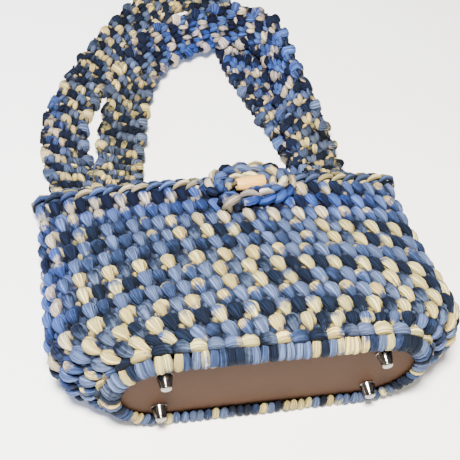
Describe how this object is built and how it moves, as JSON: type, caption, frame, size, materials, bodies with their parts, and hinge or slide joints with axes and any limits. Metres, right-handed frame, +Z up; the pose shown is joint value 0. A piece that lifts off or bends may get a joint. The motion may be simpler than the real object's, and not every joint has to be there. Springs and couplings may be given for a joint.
{
  "type": "purse",
  "caption": "Crocheted yarn purse with an oval base board on small metal feet, flat crocheted shoulder straps and a toggle and loop closure, lying on its back.",
  "frame": {"origin": "middle of the bounding box's underside, on the surface that the purse lies on", "axes": "+Z up, out of the front panel; +Y from the base to the rim and the straps; +X to the right as seen from the base"},
  "size_m": [0.3486, 0.5456, 0.1098],
  "materials": {
    "dyed_yarn": "matt space-dyed cotton yarn in blues, slate and cream",
    "board_leather": "smooth taupe leather over a stiff board",
    "foot_chrome": "polished",
    "pale_wood": "smooth pale wood"
  },
  "bodies": {
    "root": {"base_board": "board_leather", "base_edging": "dyed_yarn", "body_front": "dyed_yarn", "body_back": "dyed_yarn", "rim_braid": "dyed_yarn", "strap_front": "dyed_yarn", "strap_back": "dyed_yarn", "foot_front_left": "foot_chrome", "foot_front_right": "foot_chrome", "foot_back_left": "foot_chrome", "foot_back_right": "foot_chrome", "toggle_bead": "pale_wood", "toggle_cord": "dyed_yarn", "closure_loop": "dyed_yarn", "loop_tether": "dyed_yarn", "closure_knot": "dyed_yarn"}
  },
  "joints": []
}
